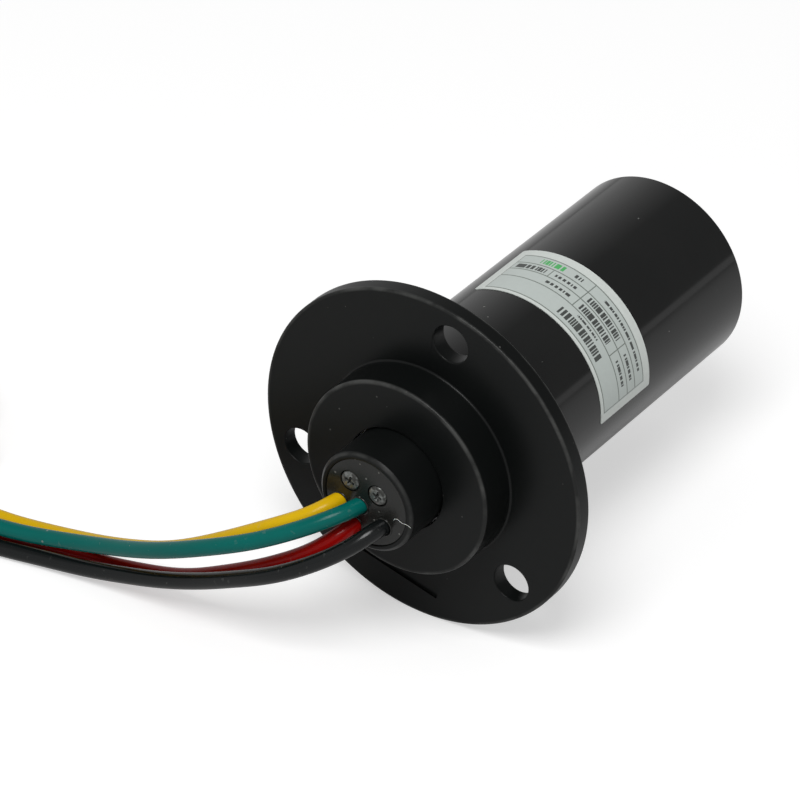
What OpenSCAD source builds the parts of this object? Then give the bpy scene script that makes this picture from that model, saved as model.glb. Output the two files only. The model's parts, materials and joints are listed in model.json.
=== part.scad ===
// Flanged capsule slip ring with four power circuits.
// The axis lies along Y. The rotor's nozzle, where its leads come out, points to -Y and the housing
// tube to +Y. The origin is the centre of the flange's mounting face, the one the tube stands on.
// Modules drawn inside on_axis() use the shaft's own Z: up is towards the nozzle, zero is the origin.

/* [Flange and boss] */
// Outside diameter of the flange
flange_d = 54; // [50:1:60]
// Thickness of the flange
flange_t = 2.6; // [2:0.1:4]
// Distance from the centre of a bolt hole to the edge of the flange
bolt_edge = 5.1; // [4.4:0.1:5.6]
// Diameter of a bolt hole
bolt_hole_d = 5.8; // [4.5:0.1:6]
// Number of bolt holes
bolt_holes = 3; // [3, 4, 6]
// Angle of the first bolt hole, from +X towards +Z
bolt_turn = 76.4; // [60:0.1:90]
// Diameter of the boss on the front of the flange
boss_d = 31; // [29:0.5:33]
// Height of the boss above the flange
boss_h = 6; // [5:0.5:8]
// Radius of the rounded front edge of the boss
boss_round = 0.6; // [0.3:0.1:1]
// Radius of the fillet at the foot of the boss
boss_fillet = 0.5; // [0.3:0.1:0.8]
// Length, along the rim, of the sunk name panel in the flange
panel_l = 16.8; // [10:0.2:20]
// Width of the sunk panel, across the rim
panel_w = 5.2; // [3:0.1:5.4]
// Depth of the sunk panel
panel_depth = 0.3; // [0.2:0.1:0.6]

/* [Housing] */
// Outside diameter of the housing tube
tube_d = 30.5; // [29.5:0.5:33]
// Wall of the housing tube
tube_wall = 1.5; // [1:0.1:1.6]
// Length of the housing tube behind the flange
tube_l = 59.7; // [58:0.1:70]
// Length of the spigot that the tube is pressed over
spigot_l = 5; // [4:0.5:6]
// Depth of the tube's seat in the back of the flange
tube_seat = 0.4; // [0.2:0.1:0.8]
// Thickness of the rear cap
cap_t = 3; // [2.5:0.1:4]
// Depth of the rear cap inside the end of the tube
cap_inset = 0.5; // [0.3:0.1:1]
// Diameter of the hole in the rear cap for the stator's leads
outlet_d = 9; // [7:0.5:11]
// Thickness of the rear bearing plate
plate_t = 8; // [7.5:0.1:9]
// Width of the label, along the tube
label_w = 12.7; // [8:0.1:16]
// Distance from the mounting face to the near edge of the label
label_from = 20.9; // [16:0.1:26]
// Angle that the label takes round the tube
label_sweep = 121; // [60:1:180]
// Angle of the label's first end, from +X towards +Z
label_turn = -4.3; // [-30:0.1:30]
// Thickness of the label
label_t = 0.12; // [0.1:0.02:0.2]

/* [Nozzle and shaft] */
// Diameter of the rotor's nozzle
nozzle_d = 15.8; // [15.6:0.1:16.6]
// Length of the nozzle in front of the boss
nozzle_h = 7.2; // [6:0.1:10]
// Wall of the nozzle round the outlet plate
nozzle_wall = 1; // [0.7:0.1:1.1]
// Depth of the outlet plate below the rim of the nozzle
plate_recess = 0.8; // [0.4:0.1:1.2]
// Thickness of the outlet plate
outlet_plate_t = 1.6; // [1.2:0.1:2]
// Thickness of the web that the outlet plate is screwed to
web_t = 3.8; // [3.6:0.1:4.2]
// Wall round the chamber behind the web, where the leads gather
chamber_wall = 1.4; // [1:0.1:1.6]
// Outside diameter of the insulating core under the rings
core_d = 10; // [9.6:0.1:10.6]
// Bore of the core, which holds the four leads
core_bore = 7; // [6.8:0.1:7.4]

/* [Rings and brushes] */
// Space between a contact ring and the housing tube
ring_room = 5.25; // [5.1:0.05:6]
// Width of a contact ring
ring_w = 5.2; // [4.4:0.1:5.6]
// Height of a barrier above the rings
barrier_lip = 0.7; // [0.4:0.1:1]
// Width of a barrier
barrier_w = 1.8; // [1.2:0.1:2]
// Width of a brush, across its ring
brush_w = 4.2; // [3:0.1:4.2]
// Length of a brush, round its ring
brush_l = 3.6; // [2.5:0.1:4.5]
// Thickness of a brush, outwards from its ring
brush_t = 1.45; // [1.2:0.05:1.6]
// Thickness of the leaf springs
leaf_t = 0.25; // [0.15:0.05:0.35]
// Distance from a ring to the bar that its springs are riveted to
bar_gap = 2.4; // [2.2:0.1:2.8]
// Width of a bar, round the shaft
bar_w = 12; // [11:0.5:14]
// Distance from the middle of a brush to its rivet
rivet_off = 4.4; // [4:0.1:4.6]

/* [Bearings] */
// Wall of the spigot round the front bearing
seat_wall = 1.72; // [1.3:0.02:2.2]
// Section of the front bearing, from its bore to its outside
front_section = 4.5; // [4:0.1:5]
// Width of the front bearing
front_w = 5; // [4.5:0.1:5.2]
// Distance from the rear bearing to the axis of a pillar's screw
rear_wall = 2.4; // [1.8:0.1:2.8]
// Section of the rear bearing, from its bore to its outside
rear_section = 4; // [3.4:0.1:4.4]
// Width of the rear bearing
rear_w = 5; // [4:0.1:5]

/* [Leads] */
// Diameter of a lead over its insulation
lead_d = 2.5; // [2.2:0.1:2.6]
// Thickness of the ties round the coiled leads
tie_t = 0.8; // [0.6:0.1:1]

/* [Clearances] */
// Radial clearance of pressed, glued and screwed seats
seat_gap = 0.03; // [0.01:0.01:0.06]
// Radial gap between the turning nozzle and the boss
nozzle_gap = 0.2; // [0.1:0.05:0.4]
// Running gap between a brush and its ring
brush_gap = 0.05; // [0.03:0.01:0.1]
// Running gap between a ball and its races
ball_gap = 0.05; // [0.03:0.01:0.08]

/* [Hidden] */
$fn = 64;
eps = 0.5;

// Stations along the shaft, from the nozzle to the rear
boss_top = flange_t + boss_h;
nozzle_top = boss_top + nozzle_h;
outlet_top = nozzle_top - plate_recess;
web_top = outlet_top - outlet_plate_t;
web_foot = web_top - web_t;
front_wall = 1.8;
front_seat = boss_top - front_wall;
front_foot = front_seat - front_w;
clip_t = 0.9;
stack_front = -4;
circuits = 4;
ring_pitch = ring_w + barrier_w;
stack_rear = stack_front - circuits * ring_pitch - barrier_w;
collar_w = 3;
collar_rear = stack_rear - collar_w;
core_front = 1.5;
core_tail = 3.2;
core_rear = collar_rear - core_tail;
plug_l = 5;
journal_tail = 1.8;
journal_step = 1;
rear_seat = core_rear - journal_step;
rear_foot = rear_seat - rear_w;
bearing_plate_top = rear_seat + 1;
bearing_plate_foot = bearing_plate_top - plate_t;
cap_rear = -tube_l + cap_inset;
cap_front = cap_rear + cap_t;
frame_front = -spigot_l;
frame_end_t = 1.5;

// Radii and diameters that follow from the driving sizes
bolt_circle_r = flange_d / 2 - bolt_edge;
tube_bore = tube_d - 2 * tube_wall;
spigot_d = tube_bore - 2 * seat_gap;
nozzle_hole_d = nozzle_d + 2 * nozzle_gap;
pillar_d = 4.6;
pillar_r = spigot_d / 2 - pillar_d / 2 - 1.02;
front_od = spigot_d - 2 * seat_wall;
front_bore = front_od - 2 * front_section;
rear_od = 2 * (pillar_r - rear_wall);
rear_bore = rear_od - 2 * rear_section;
front_pitch_r = (front_bore + front_od) / 4;
rear_pitch_r = (rear_bore + rear_od) / 4;
front_ball_d = front_section * 2 / 3;
rear_ball_d = rear_section * 0.6;
front_ball_count = 11;
rear_ball_count = 9;
ring_d = tube_bore - 2 * ring_room;
barrier_d = ring_d + 2 * barrier_lip;
bar_x = ring_d / 2 + bar_gap;
brush_back = ring_d / 2 + brush_t;
collar_t = 2.5;
panel_turn = bolt_turn - 180;
panel_mid_r = flange_d / 2 - 5 - panel_w / 2;

// Small screws and rivets: thread or shank, head diameter and head height
plate_screw_d = 1.6;
plate_head_d = 3;
plate_head_h = 0.8;
cap_screw_d = 2;
cap_head_d = 3.8;
cap_head_h = 1.4;
set_screw_d = 2;
set_screw_l = collar_t - 0.1;
rivet_d = 0.9;
rivet_head_h = 0.3;
rivet_seat = 1.1;
plate_screw_at = [[-2.7, 2.6], [2, 1.9]];

// Leads: places in the outlet plate, and in the bundle inside the core
lead_exit = [[-4.5, -1.5], [-1, -1], [-2, -4.5], [3, -3]];
lead_bundle = [[-1.4, 1.4], [1.4, 1.4], [-1.4, -1.4], [1.4, -1.4]];
lead_hole_d = lead_d + 0.4;
lead_colour = ["#f2c811", "#0f9a8a", "#c8321e", "#161616"];

// The free leads rest on the level of the flange's lowest point, and are coiled beside it
floor_z = -flange_d / 2;
coil_at = [-93, -14];
coil_r = 13.75;
coil_tracks = 3;
coil_bottom = floor_z + tie_t;
yellow_route = [[-4.5, -15, -1.5], [-5, -17.5, -1.5], [-6.5, -19.5, -2.5], [-9.5, -21.5, -4],
    [-14, -23, -6.5], [-20.5, -24, -10.5], [-28, -24, -15], [-36, -22.5, -19], [-44.5, -21, -22.5],
    [-53, -20, -25], [-62, -21.5, -25.5], [-69, -23.5, -23.5], [-76.5, -26, -20.5],
    [-84.5, -28, -17.5], [-93, -30.25, -17.45]];
green_route = [[-1, -15, -1], [-1.5, -17.5, -1], [-3, -20, -1.5], [-6, -22.5, -3], [-12, -25.5, -6],
    [-19, -27, -9], [-27, -27, -13], [-35, -25.5, -17], [-43.5, -24, -20.5], [-52, -24.5, -22.5],
    [-60, -25.5, -23.5], [-68, -27.5, -22], [-76, -28.5, -21], [-84, -29.5, -20],
    [-93, -30.25, -19.95]];
red_route = [[-2, -15, -4.5], [-2.5, -17.5, -5], [-4, -19.5, -6.5], [-7.5, -20.5, -9.5],
    [-14.5, -21.5, -14], [-21.5, -21.5, -18], [-28, -21.5, -21.5], [-35.5, -21, -24],
    [-44, -21.5, -25.5], [-52, -22.5, -25.75], [-60, -24.5, -25.75], [-68, -26, -24.5],
    [-76, -27.5, -23.5], [-84, -29.5, -22.5], [-93, -30.25, -22.45]];
black_route = [[3, -15, -3], [2.5, -17.5, -3], [1, -20, -4.5], [-3, -22.5, -7.5], [-9.5, -24.5, -11.5],
    [-16.5, -24.5, -15], [-23, -24, -18.5], [-30.5, -24, -21.5], [-37.5, -24, -23.5],
    [-44.5, -24.5, -25], [-52, -25.5, -25.5], [-59, -27, -25.75], [-68, -28.5, -25.5],
    [-76, -29.5, -25.5], [-84, -30, -25], [-93, -30.25, -24.95]];

black_plastic = "#1b1b1d";
steel = "#b9bcc0";
brass = "#c9a548";
phenolic = "#7a3b1c";

// Helpers

module on_axis() rotate([90, 0, 0]) children();

// A tube about the shaft between two stations
module sleeve(od, id, low, high) {
    translate([0, 0, low]) difference() {
        cylinder(d = od, h = high - low);
        translate([0, 0, -eps]) cylinder(d = id, h = high - low + 2 * eps);
    }
}

module rod(d, low, high) translate([0, 0, low]) cylinder(d = d, h = high - low);

module around(count, radius = 0, turn = 0) {
    for (i = [0:count - 1]) rotate(turn + i * 360 / count) translate([radius, 0, 0]) children();
}

module both_sides() for (side = [0, 180]) rotate(side) children();

// Points of an arc in a profile, from angle a to angle b
function arc(centre, r, a, b, steps = 6) =
    [for (i = [0:steps]) centre + r * [cos(a + (b - a) * i / steps), sin(a + (b - a) * i / steps)]];

// A cross recess, cut down from the top of a screw head
module cross_recess(size, depth, top) {
    for (turn = [20, 110]) rotate(turn) translate([-size / 2, -size / 9, top - depth])
        cube([size, size / 4.5, depth + eps]);
}

function ring_at(i) = stack_front - barrier_w - ring_w / 2 - i * ring_pitch;

// Stator

module flange_housing() {
    edge = 0.35;
    clip_groove = 0.6;
    color(black_plastic) on_axis() difference() {
        rotate_extrude() polygon(concat(
            [[front_od / 2 + seat_gap, -spigot_l], [spigot_d / 2, -spigot_l], [spigot_d / 2, tube_seat],
             [tube_d / 2 + seat_gap, tube_seat], [tube_d / 2 + seat_gap, 0], [flange_d / 2 - edge, 0], [flange_d / 2, edge], [flange_d / 2, flange_t - edge],
             [flange_d / 2 - edge, flange_t]],
            arc([boss_d / 2 + boss_fillet, flange_t + boss_fillet], boss_fillet, 270, 180),
            arc([boss_d / 2 - boss_round, boss_top - boss_round], boss_round, 0, 90),
            [[nozzle_hole_d / 2, boss_top], [nozzle_hole_d / 2, front_seat],
             [front_od / 2 + seat_gap, front_seat]]));
        around(bolt_holes, bolt_circle_r, bolt_turn) rod(bolt_hole_d, -eps, flange_t + eps);
        sleeve(front_od + 2 * clip_groove, front_od - 1, front_foot - clip_t, front_foot);
        rotate(panel_turn) translate([panel_mid_r, 0, flange_t - panel_depth])
            linear_extrude(panel_depth + eps) offset(0.6, $fn = 16)
                square([panel_w - 1.2, panel_l - 1.2], center = true);
    }
}

module housing_tube() {
    edge = 0.3;
    lead_in = 0.15;
    color("#121214") on_axis() rotate_extrude() polygon([
        [tube_bore / 2, -tube_l], [tube_d / 2 - edge, -tube_l], [tube_d / 2, -tube_l + edge],
        [tube_d / 2, 0], [tube_d / 2 - lead_in, tube_seat], [tube_bore / 2, tube_seat]]);
}

module rating_label() {
    color("#c9cbc8") on_axis() rotate(label_turn) rotate_extrude(angle = label_sweep)
        translate([tube_d / 2, -label_from - label_w]) square([label_t, label_w]);
}

module rear_cap() {
    color(black_plastic) on_axis() difference() {
        union() {
            rod(spigot_d, cap_rear, cap_front);
            around(3, pillar_r) rod(pillar_d, cap_front - eps, bearing_plate_foot);
        }
        rod(outlet_d, cap_rear - eps, cap_front + eps);
        around(3, pillar_r) {
            rod(cap_screw_d + 2 * seat_gap, cap_rear - eps, bearing_plate_foot + eps);
            rod(cap_head_d + 0.4, cap_rear - eps, cap_rear + cap_head_h + 0.3);
        }
    }
}

module rear_cap_screws() {
    seat = cap_rear + cap_head_h + 0.3;
    color(steel) on_axis() around(3, pillar_r) difference() {
        union() {
            rod(cap_screw_d, seat, bearing_plate_foot + 4);
            rod(cap_head_d, seat - cap_head_h, seat);
        }
        mirror([0, 0, 1]) cross_recess(2.2, 0.8, cap_head_h - seat);
    }
}

module bearing_plate() {
    color("#2a2a2c") on_axis() difference() {
        rod(spigot_d, bearing_plate_foot, bearing_plate_top);
        rod(rear_od + 2 * seat_gap, rear_foot, bearing_plate_top + eps);
        rod(rear_od - 3, bearing_plate_foot - eps, rear_foot + eps);
        around(3, pillar_r) rod(cap_screw_d + 2 * seat_gap, bearing_plate_foot - eps,
            bearing_plate_foot + 4.6);
        around(3, pillar_r, 60) rod(4, bearing_plate_foot - eps, bearing_plate_top + eps);
    }
}

// Moulded frame: two end rings, and a bar on each side that carries one row of brushes
module brush_frame() {
    color(phenolic) on_axis() difference() {
        union() {
            sleeve(spigot_d, 2 * bar_x, frame_front - frame_end_t, frame_front);
            sleeve(spigot_d, 2 * bar_x, bearing_plate_top, bearing_plate_top + frame_end_t);
            both_sides() intersection() {
                rod(spigot_d, bearing_plate_top, frame_front);
                translate([bar_x, -bar_w / 2, bearing_plate_top])
                    cube([tube_bore, bar_w, frame_front - bearing_plate_top]);
            }
        }
        both_sides() for (i = [0:circuits - 1]) rivet_place(i) {
            rod(rivet_d + 0.1, bar_x - eps, tube_bore);
            rod(2 * rivet_d + 0.4, bar_x + rivet_seat, tube_bore);
        }
    }
}

// The rivet of a circuit's spring, pointing outwards through the bar
module rivet_place(i) translate([0, -rivet_off, ring_at(i)]) rotate([0, 90, 0]) children();

// One leaf spring for each brush: a foot on the bar, and an arm behind the brush
module brush_springs() {
    width = brush_w - 0.8;
    foot = 1.2;
    bend = brush_l / 2 - 0.2;
    color(brass) on_axis() both_sides() for (i = [0:circuits - 1]) difference() {
        translate([0, 0, ring_at(i) - width / 2]) linear_extrude(width) polygon([
            [bar_x, -rivet_off - foot], [bar_x, foot - rivet_off], [brush_back + leaf_t, -bend],
            [brush_back + leaf_t, brush_l / 2], [brush_back, brush_l / 2], [brush_back, -bend - 0.1],
            [bar_x - leaf_t, foot - rivet_off - 0.1], [bar_x - leaf_t, -rivet_off - foot]]);
        rivet_place(i) rod(rivet_d + 0.1, bar_x - 1, bar_x + 1);
    }
}

module brushes() {
    color("#4a4a4e") on_axis() both_sides() for (i = [0:circuits - 1])
        translate([0, 0, ring_at(i)]) difference() {
            translate([ring_d / 2 - 0.6, -brush_l / 2, -brush_w / 2])
                cube([brush_back - ring_d / 2 + 0.6, brush_l, brush_w]);
            rod(ring_d + 2 * brush_gap, -brush_w, brush_w);
        }
}

module brush_rivets() {
    inner_foot = bar_x - leaf_t;
    outer_foot = bar_x + rivet_seat;
    color(brass) on_axis() both_sides() for (i = [0:circuits - 1]) rivet_place(i) {
        rod(rivet_d, inner_foot - rivet_head_h, outer_foot + rivet_head_h);
        rod(2 * rivet_d, inner_foot - rivet_head_h, inner_foot);
        rod(2 * rivet_d, outer_foot, outer_foot + rivet_head_h);
    }
}

// Rotor

module rotor_shaft() {
    edge = 0.3;
    color(black_plastic) on_axis() difference() {
        rotate_extrude() polygon([
            [core_d / 2 + seat_gap, stack_front], [front_bore / 2 - seat_gap, stack_front],
            [front_bore / 2 - seat_gap, front_seat], [nozzle_d / 2, front_seat],
            [nozzle_d / 2, nozzle_top - edge], [nozzle_d / 2 - edge, nozzle_top],
            [nozzle_d / 2 - nozzle_wall + edge / 2, nozzle_top],
            [nozzle_d / 2 - nozzle_wall, nozzle_top - edge / 2],
            [nozzle_d / 2 - nozzle_wall, web_top], [0, web_top], [0, web_foot],
            [nozzle_d / 2 - chamber_wall, web_foot], [(core_d + core_bore) / 4, core_front],
            [core_d / 2 + seat_gap, core_front]]);
        for (p = lead_exit) translate(p) rod(lead_hole_d, web_foot - eps, web_top + eps);
        for (p = plate_screw_at) translate(p)
            rod(plate_screw_d + 2 * seat_gap, web_top - 3, web_top + eps);
        sleeve(front_bore + 2, front_bore - 1, front_foot - clip_t, front_foot);
    }
}

module outlet_plate() {
    color("#101012") on_axis() difference() {
        rod(nozzle_d - 2 * nozzle_wall - 2 * seat_gap, web_top, outlet_top);
        for (p = lead_exit) translate(p) rod(lead_hole_d, web_top - eps, outlet_top + eps);
        for (p = plate_screw_at) translate(p)
            rod(plate_screw_d + 0.2, web_top - eps, outlet_top + eps);
    }
}

module outlet_plate_screws() {
    color(steel) on_axis() for (p = plate_screw_at) translate(p) difference() {
        union() {
            rod(plate_screw_d, web_top - 2.6, outlet_top);
            translate([0, 0, outlet_top]) rotate_extrude() polygon(concat(
                [[0, 0], [plate_head_d / 2, 0]],
                arc([plate_head_d / 2 - 0.4, plate_head_h - 0.4], 0.4, 0, 90),
                [[0, plate_head_h]]));
        }
        cross_recess(1.9, 0.5, outlet_top + plate_head_h);
    }
}

module ring_core() {
    color(phenolic) on_axis() difference() {
        sleeve(core_d, core_bore, core_rear, core_front);
        for (i = [0:circuits - 1]) terminal_place(i) rod(1.4, 0, core_d);
    }
}

// The place of a circuit's terminal: at its ring, on the side of its lead, pointing outwards
module terminal_place(i) {
    p = lead_bundle[i];
    translate([0, 0, ring_at(i)]) rotate(atan2(p.y, p.x)) rotate([0, 90, 0]) children();
}

module ring_terminals() {
    color(brass) on_axis() for (i = [0:circuits - 1])
        terminal_place(i) rod(1.2, norm(lead_bundle[i]) + lead_d / 2 + 0.02, core_d / 2);
}

module contact_rings() {
    edge = 0.2;
    color(brass) on_axis() for (i = [0:circuits - 1]) translate([0, 0, ring_at(i)])
        rotate_extrude() polygon([
            [core_d / 2 + seat_gap, -ring_w / 2], [ring_d / 2 - edge, -ring_w / 2],
            [ring_d / 2, edge - ring_w / 2], [ring_d / 2, ring_w / 2 - edge],
            [ring_d / 2 - edge, ring_w / 2], [core_d / 2 + seat_gap, ring_w / 2]]);
}

module ring_barriers() {
    color("#e3ded0") on_axis() for (i = [0:circuits]) {
        high = stack_front - i * ring_pitch;
        sleeve(barrier_d, core_d + 2 * seat_gap, high - barrier_w, high);
    }
}

module clamp_collar() {
    color(steel) on_axis() difference() {
        sleeve(core_d + 2 * collar_t, core_d + 2 * seat_gap, collar_rear, stack_rear);
        collar_screw_place() rod(set_screw_d + 2 * seat_gap, 0, core_d);
    }
}

module collar_screw_place() {
    translate([0, 0, stack_rear - collar_w / 2]) rotate([0, 90, 0]) children();
}

module collar_screw() {
    slot_depth = 0.6;
    end = core_d / 2 + set_screw_l;
    color("#3a3a3c") on_axis() collar_screw_place() difference() {
        rod(set_screw_d, core_d / 2 + seat_gap, end);
        rotate(45) translate([-set_screw_d, -0.2, end - slot_depth])
            cube([2 * set_screw_d, 0.4, slot_depth + eps]);
    }
}

module rear_journal() {
    color(steel) on_axis() difference() {
        union() {
            rod(core_bore - 2 * seat_gap, core_rear - eps, core_rear + plug_l);
            rod(core_d, rear_seat, core_rear);
            rod(rear_bore - 2 * seat_gap, rear_foot - journal_tail, rear_seat + eps);
        }
        sleeve(rear_bore + 1, rear_bore - 0.8, rear_foot - 0.7, rear_foot);
    }
}

// An open retaining ring, with its gap on +X
module open_ring(od, id, low, high, gap_angle) {
    difference() {
        sleeve(od, id, low, high);
        translate([0, 0, low - eps]) linear_extrude(high - low + 2 * eps)
            polygon([[0, 0], od * [cos(gap_angle / 2), sin(gap_angle / 2)],
                od * [cos(gap_angle / 2), -sin(gap_angle / 2)]]);
    }
}

module shaft_clip() {
    color(steel) on_axis()
        open_ring(front_bore + 2.2, front_bore - 0.9, front_foot - clip_t, front_foot, 30);
}

module journal_clip() {
    color(steel) on_axis()
        open_ring(rear_bore + 2, rear_bore - 0.7, rear_foot - 0.6, rear_foot, 60);
}

module front_bearing_clip() {
    color(steel) on_axis()
        open_ring(front_od + 1, front_od - 3.2, front_foot - clip_t, front_foot, 40);
}

// Bearings: each race is turned, with a groove for the balls at the pitch circle

module race(inner, outer, low, high, pitch_r, ball_d) {
    translate([0, 0, low]) rotate_extrude() difference() {
        translate([inner, 0]) square([outer - inner, high - low]);
        translate([pitch_r, (high - low) / 2]) circle(d = ball_d + 2 * ball_gap, $fn = 48);
    }
}

module front_bearing_outer() {
    color(steel) on_axis() race(front_pitch_r + front_ball_d * 0.32, front_od / 2,
        front_foot, front_seat, front_pitch_r, front_ball_d);
}

module front_bearing_inner() {
    color(steel) on_axis() race(front_bore / 2, front_pitch_r - front_ball_d * 0.32,
        front_foot, front_seat, front_pitch_r, front_ball_d);
}

module rear_bearing_outer() {
    color(steel) on_axis() race(rear_pitch_r + rear_ball_d * 0.32, rear_od / 2,
        rear_foot, rear_seat, rear_pitch_r, rear_ball_d);
}

module rear_bearing_inner() {
    color(steel) on_axis() race(rear_bore / 2, rear_pitch_r - rear_ball_d * 0.32,
        rear_foot, rear_seat, rear_pitch_r, rear_ball_d);
}

// A cage with a round pocket for each ball
module ball_cage(pitch_r, ball_d, count, mid) {
    color("#c8b48c") on_axis() difference() {
        sleeve(2 * pitch_r + ball_d * 0.36, 2 * pitch_r - ball_d * 0.36,
            mid - ball_d * 0.62, mid + ball_d * 0.62);
        around(count) translate([pitch_r, 0, mid]) rotate([0, 90, 0])
            translate([0, 0, -ball_d / 2]) cylinder(d = ball_d + 2 * ball_gap, h = ball_d);
    }
}

module ball_ring(pitch_r, ball_d, count, mid) {
    color(steel) on_axis() around(count, pitch_r) translate([0, 0, mid]) sphere(d = ball_d);
}

module front_ball_cage()
    ball_cage(front_pitch_r, front_ball_d, front_ball_count, (front_seat + front_foot) / 2);

module front_balls()
    ball_ring(front_pitch_r, front_ball_d, front_ball_count, (front_seat + front_foot) / 2);

module rear_ball_cage()
    ball_cage(rear_pitch_r, rear_ball_d, rear_ball_count, (rear_seat + rear_foot) / 2);

module rear_balls()
    ball_ring(rear_pitch_r, rear_ball_d, rear_ball_count, (rear_seat + rear_foot) / 2);

// Leads: each is a line of points swept with eight sides, inside the rotor and out in the open

function unit(v) = v / norm(v);

function tangent(line, i, first, last) =
    i == 0 ? first : i == len(line) - 1 ? last
        : unit(unit(line[i + 1] - line[i]) + unit(line[i] - line[i - 1]));

module swept_lead(line, colour, first, last) {
    sides = 8;
    rings = len(line);
    points = [for (i = [0:rings - 1])
        let (t = tangent(line, i, first, last), across = unit(cross(t, [0, 0, 1])), up = cross(across, t))
        for (k = [0:sides - 1])
            line[i] + lead_d / 2 * (cos(k * 360 / sides) * across + sin(k * 360 / sides) * up)];
    ends = [[for (k = [0:sides - 1]) k], [for (k = [sides - 1:-1:0]) (rings - 1) * sides + k]];
    walls = [for (i = [0:rings - 2], k = [0:sides - 1])
        let (a = i * sides + k, b = i * sides + (k + 1) % sides) [b, a, a + sides, b + sides]];
    color(colour) polyhedron(points, concat(ends, walls), convexity = 4);
}

// A point on the shaft, in the part's own directions
function on_shaft(p, station) = [p.x, -station, p.y];

// Straight through the web, across the chamber, and along the core to a ring
module inner_lead(i) {
    swept_lead([on_shaft(lead_exit[i], outlet_top), on_shaft(lead_exit[i], web_foot - 0.4),
        on_shaft(lead_bundle[i], core_front + 1.5), on_shaft(lead_bundle[i], ring_at(i) - 1)],
        lead_colour[i], [0, 1, 0], [0, 1, 0]);
}

module inner_lead_yellow() inner_lead(0);
module inner_lead_green() inner_lead(1);
module inner_lead_red() inner_lead(2);
module inner_lead_black() inner_lead(3);

// In the open, a route's points draw a uniform cubic B-spline
function spline(route) = [for (i = [0:len(route) - 1])
    i == 0 || i == len(route) - 1 ? route[i] : (route[i - 1] + 4 * route[i] + route[i + 1]) / 6];

module free_lead(route, colour) swept_lead(spline(route), colour, [0, -1, 0], [-1, 0, 0]);

module lead_yellow() free_lead(yellow_route, lead_colour[0]);
module lead_green() free_lead(green_route, lead_colour[1]);
module lead_red() free_lead(red_route, lead_colour[2]);
module lead_black() free_lead(black_route, lead_colour[3]);

// The rest of the leads, wound one above the other in a flat round coil
module lead_coil() {
    width = coil_tracks * lead_d;
    color("#3c6f68") translate([coil_at.x, coil_at.y, coil_bottom]) rotate_extrude()
        translate([coil_r - width / 2, 0]) square([width, circuits * lead_d]);
}

module coil_ties() {
    slack = 0.1;
    strap_w = 2.4;
    hole = [coil_tracks * lead_d + 2 * slack, circuits * lead_d + slack];
    color("#e8e8e4") translate([coil_at.x, coil_at.y, floor_z]) both_sides()
        translate([coil_r, strap_w / 2, 0]) rotate([90, 0, 0]) linear_extrude(strap_w) difference() {
            translate([-hole.x / 2 - tie_t, 0]) square([hole.x + 2 * tie_t, hole.y + 2 * tie_t]);
            translate([-hole.x / 2, tie_t]) square(hole);
        }
}

flange_housing();
housing_tube();
rating_label();
rear_cap();
rear_cap_screws();
bearing_plate();
brush_frame();
brush_springs();
brushes();
brush_rivets();
front_bearing_outer();
rear_bearing_outer();
front_bearing_clip();
rotor_shaft();
outlet_plate();
outlet_plate_screws();
ring_core();
contact_rings();
ring_barriers();
clamp_collar();
collar_screw();
rear_journal();
shaft_clip();
journal_clip();
front_bearing_inner();
rear_bearing_inner();
ring_terminals();
inner_lead_yellow();
inner_lead_green();
inner_lead_red();
inner_lead_black();
front_ball_cage();
front_balls();
rear_ball_cage();
rear_balls();
lead_yellow();
lead_green();
lead_red();
lead_black();
lead_coil();
coil_ties();
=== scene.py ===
# %% [markdown]
# # Dressing a flanged slip ring
# A slip ring carries current from still wires to wires that turn. This one is a round flange with
# a boss and a turning nozzle on its front, four coloured leads, and a tubular housing behind.
# The solids already hold every size and every moving part. This lesson gives what can be seen its
# rounded edges, its print and its finish. All lengths are in metres, so MM turns millimetres into
# metres.

# %% Load the solids
import json
import math

import bpy
from mathutils import Matrix, Vector


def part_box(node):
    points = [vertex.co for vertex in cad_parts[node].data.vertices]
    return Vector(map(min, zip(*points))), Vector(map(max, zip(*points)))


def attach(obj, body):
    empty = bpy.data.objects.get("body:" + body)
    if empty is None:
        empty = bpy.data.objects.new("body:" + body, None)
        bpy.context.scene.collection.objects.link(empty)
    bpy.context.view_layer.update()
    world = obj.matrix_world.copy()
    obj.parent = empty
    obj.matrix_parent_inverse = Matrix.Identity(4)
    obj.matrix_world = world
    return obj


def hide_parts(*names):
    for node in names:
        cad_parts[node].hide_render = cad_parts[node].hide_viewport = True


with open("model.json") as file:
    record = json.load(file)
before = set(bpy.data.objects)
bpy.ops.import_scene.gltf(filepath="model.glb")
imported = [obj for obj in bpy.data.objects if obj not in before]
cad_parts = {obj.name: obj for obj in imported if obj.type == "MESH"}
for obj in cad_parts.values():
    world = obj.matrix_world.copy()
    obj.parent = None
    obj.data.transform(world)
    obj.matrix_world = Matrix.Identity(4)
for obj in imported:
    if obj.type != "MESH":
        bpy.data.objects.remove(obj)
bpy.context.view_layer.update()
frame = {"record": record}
MM = 0.001
MOUNTS = {mount["name"]: mount for mount in frame["record"]["mounts"]}

# %% [markdown]
# ## Sizes that everything follows
# The shaft lies along Y. The mounting face is at y = 0, the nozzle points to -Y and the housing
# goes to +Y. The boxes of the solids give the main radii and places, so a new size in the solids
# is followed here without a change.

# %% Radii and places along the shaft
def reach(node):
    """A round node's outer radius, and its lowest and highest place along the shaft."""
    low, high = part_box(node)
    return high.x, low.y, high.y


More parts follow.
